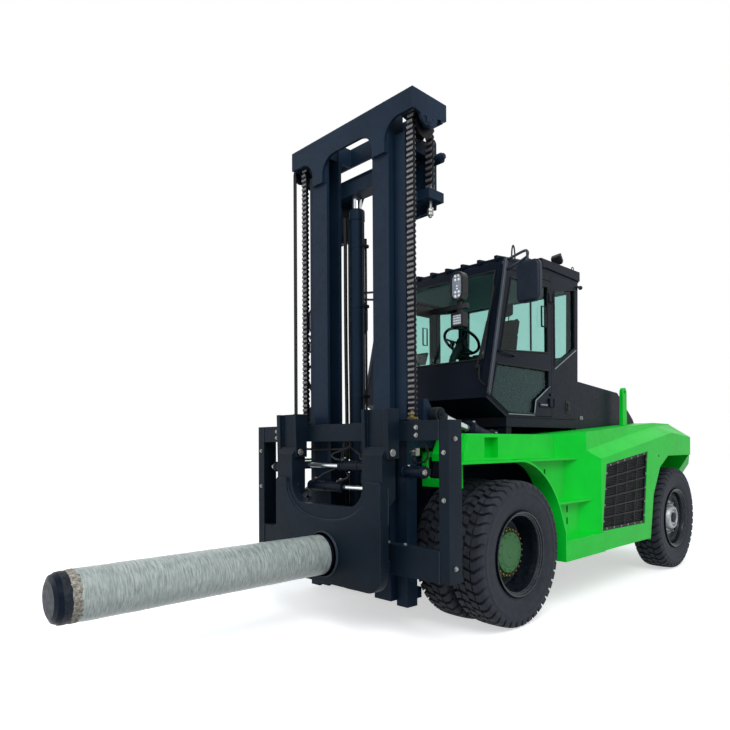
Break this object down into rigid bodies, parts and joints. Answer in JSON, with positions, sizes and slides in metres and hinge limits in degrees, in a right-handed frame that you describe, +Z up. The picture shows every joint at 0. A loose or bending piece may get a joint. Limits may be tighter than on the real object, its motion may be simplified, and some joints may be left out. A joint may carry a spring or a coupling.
{
  "type": "heavy electric forklift with a coil ram",
  "caption": "Heavy electric counterbalance forklift with a tilting telescopic mast, a side-shifting coil ram, twin drive tyres, steered rear wheels and an enclosed cab.",
  "frame": {"origin": "on the floor under the middle of the whole truck's bounding box", "axes": "+Z up, -Y forward along the ram, +X to the truck's left"},
  "size_m": [2.56, 7.69, 4.368],
  "materials": {
    "green_paint": "gloss",
    "black_paint": "satin",
    "mast_paint": "satin",
    "tyre_rubber": "matt",
    "rim_paint": "gloss",
    "axle_steel": "matt",
    "glass": "clear",
    "mesh_steel": "matt",
    "battery_case": "matt",
    "chain_steel": "oiled",
    "chrome_rod": "polished",
    "counterweight_iron": "gloss paint",
    "seat_cloth": "woven",
    "dash_plastic": "textured",
    "lamp_plastic": "gloss",
    "film_wrap": "satin film",
    "ram_steel": "satin"
  },
  "bodies": {
    "chassis": {"chassis": "black_paint", "deck_shell": "green_paint", "side_body_left": "green_paint", "side_body_right": "green_paint", "grille_left": "mesh_steel", "grille_right": "mesh_steel", "counterweight": "counterweight_iron", "battery": "battery_case", "steps_left": "green_paint", "steps_right": "green_paint", "cab_sides": "black_paint", "cab_front": "black_paint", "cab_roof": "black_paint", "cab_rear": "black_paint", "cab_pan": "black_paint", "roof_guard": "black_paint", "cab_glass": "glass", "cab_base": "black_paint", "seat": "seat_cloth", "dashboard": "dash_plastic", "lifting_lugs": "green_paint", "mirrors": "lamp_plastic", "drive_axle": "axle_steel", "steer_axle": "axle_steel", "tilt_mounts": "black_paint"},
    "hood": {"hood": "black_paint"},
    "door_left": {"door_left": "black_paint", "door_glass_left": "glass"},
    "door_right": {"door_right": "black_paint", "door_glass_right": "glass"},
    "drive_wheel_left": {"drive_tyres_left": "tyre_rubber", "drive_rims_left": "rim_paint"},
    "drive_wheel_right": {"drive_tyres_right": "tyre_rubber", "drive_rims_right": "rim_paint"},
    "steer_knuckle_left": {"steer_knuckle_left": "axle_steel"},
    "steer_knuckle_right": {"steer_knuckle_right": "axle_steel"},
    "steer_wheel_left": {"steer_tyre_left": "tyre_rubber", "steer_rim_left": "rim_paint"},
    "steer_wheel_right": {"steer_tyre_right": "tyre_rubber", "steer_rim_right": "rim_paint"},
    "outer_mast": {"outer_mast": "mast_paint", "mast_ties": "mast_paint", "tilt_lugs": "mast_paint", "lift_barrels": "mast_paint", "mast_lamps": "lamp_plastic", "chain_rear": "chain_steel"},
    "inner_mast": {"inner_mast": "mast_paint", "mast_sheaves": "chain_steel", "lift_rods": "chrome_rod", "chain_front": "chain_steel"},
    "carriage": {"carriage": "mast_paint", "shift_barrels": "black_paint"},
    "ram": {"ram_plate": "mast_paint", "shift_rods": "chrome_rod", "ram_boom": "ram_steel", "ram_wrap": "film_wrap"},
    "tilt_barrel_left": {"tilt_barrel_left": "black_paint"},
    "tilt_barrel_right": {"tilt_barrel_right": "black_paint"},
    "tilt_rod_left": {"tilt_rod_left": "chrome_rod"},
    "tilt_rod_right": {"tilt_rod_right": "chrome_rod"}
  },
  "joints": [
    {"name": "drive_wheel_left_roll", "type": "hinge", "parent": "chassis", "child": "drive_wheel_left", "pos_m": [1.056, -0.555, 0.6125], "axis": [1, 0, 0], "continuous": true},
    {"name": "drive_wheel_right_roll", "type": "hinge", "parent": "chassis", "child": "drive_wheel_right", "pos_m": [-1.056, -0.555, 0.6125], "axis": [1, 0, 0], "continuous": true},
    {"name": "steer_left", "type": "hinge", "parent": "chassis", "child": "steer_knuckle_left", "pos_m": [0.9, 2.914, 0.6125], "axis": [0, 0, 1], "range_deg": [-55, 55]},
    {"name": "steer_wheel_left_roll", "type": "hinge", "parent": "steer_knuckle_left", "child": "steer_wheel_left", "pos_m": [1.062, 2.914, 0.6125], "axis": [1, 0, 0], "continuous": true},
    {"name": "steer_right", "type": "hinge", "parent": "chassis", "child": "steer_knuckle_right", "pos_m": [-0.9, 2.914, 0.6125], "axis": [0, 0, 1], "range_deg": [-55, 55]},
    {"name": "steer_wheel_right_roll", "type": "hinge", "parent": "steer_knuckle_right", "child": "steer_wheel_right", "pos_m": [-1.062, 2.914, 0.6125], "axis": [1, 0, 0], "continuous": true},
    {"name": "mast_tilt", "type": "hinge", "parent": "chassis", "child": "outer_mast", "pos_m": [0, -1.055, 0.58], "axis": [1, 0, 0], "range_deg": [-10, 6]},
    {"name": "mast_lift", "type": "slide", "parent": "outer_mast", "child": "inner_mast", "axis": [0, 0, 1], "range_m": [0, 1.9], "deforming": ["chain_rear"]},
    {"name": "carriage_lift", "type": "slide", "parent": "inner_mast", "child": "carriage", "axis": [0, 0, 1], "range_m": [0, 1.9], "deforming": ["chain_front"]},
    {"name": "side_shift", "type": "slide", "parent": "carriage", "child": "ram", "axis": [1, 0, 0], "range_m": [-0.1, 0.1]},
    {"name": "tilt_swing_left", "type": "hinge", "parent": "chassis", "child": "tilt_barrel_left", "pos_m": [0.8, -0.175, 1.5], "axis": [1, 0, 0], "range_deg": [-3.99, 2.4]},
    {"name": "tilt_rod_left_slide", "type": "slide", "parent": "tilt_barrel_left", "child": "tilt_rod_left", "axis": [0, -0.9641, 0.2656], "range_m": [-0.1974, 0.1186]},
    {"name": "tilt_swing_right", "type": "hinge", "parent": "chassis", "child": "tilt_barrel_right", "pos_m": [-0.8, -0.175, 1.5], "axis": [1, 0, 0], "range_deg": [-3.99, 2.4]},
    {"name": "tilt_rod_right_slide", "type": "slide", "parent": "tilt_barrel_right", "child": "tilt_rod_right", "axis": [0, -0.9641, 0.2656], "range_m": [-0.1974, 0.1186]},
    {"name": "door_left_swing", "type": "hinge", "parent": "chassis", "child": "door_left", "pos_m": [0.796, 0.728, 2], "axis": [0, 0, 1], "range_deg": [0, 85]},
    {"name": "door_right_swing", "type": "hinge", "parent": "chassis", "child": "door_right", "pos_m": [-0.796, 0.728, 2], "axis": [0, 0, -1], "range_deg": [0, 85]},
    {"name": "hood_lift", "type": "hinge", "parent": "chassis", "child": "hood", "pos_m": [0, 2.825, 1.78024], "axis": [-1, 0, 0], "range_deg": [0, 55]}
  ],
  "couplings": [
    {"joint": "steer_right", "follows": "steer_left", "ratio": 1},
    {"joint": "carriage_lift", "follows": "mast_lift", "ratio": 1},
    {"joint": "tilt_swing_left", "follows": "mast_tilt", "ratio": 0.3991},
    {"joint": "tilt_rod_left_slide", "follows": "mast_tilt", "m_per_rad": 1.128},
    {"joint": "tilt_swing_right", "follows": "mast_tilt", "ratio": 0.3991},
    {"joint": "tilt_rod_right_slide", "follows": "mast_tilt", "m_per_rad": 1.128}
  ]
}
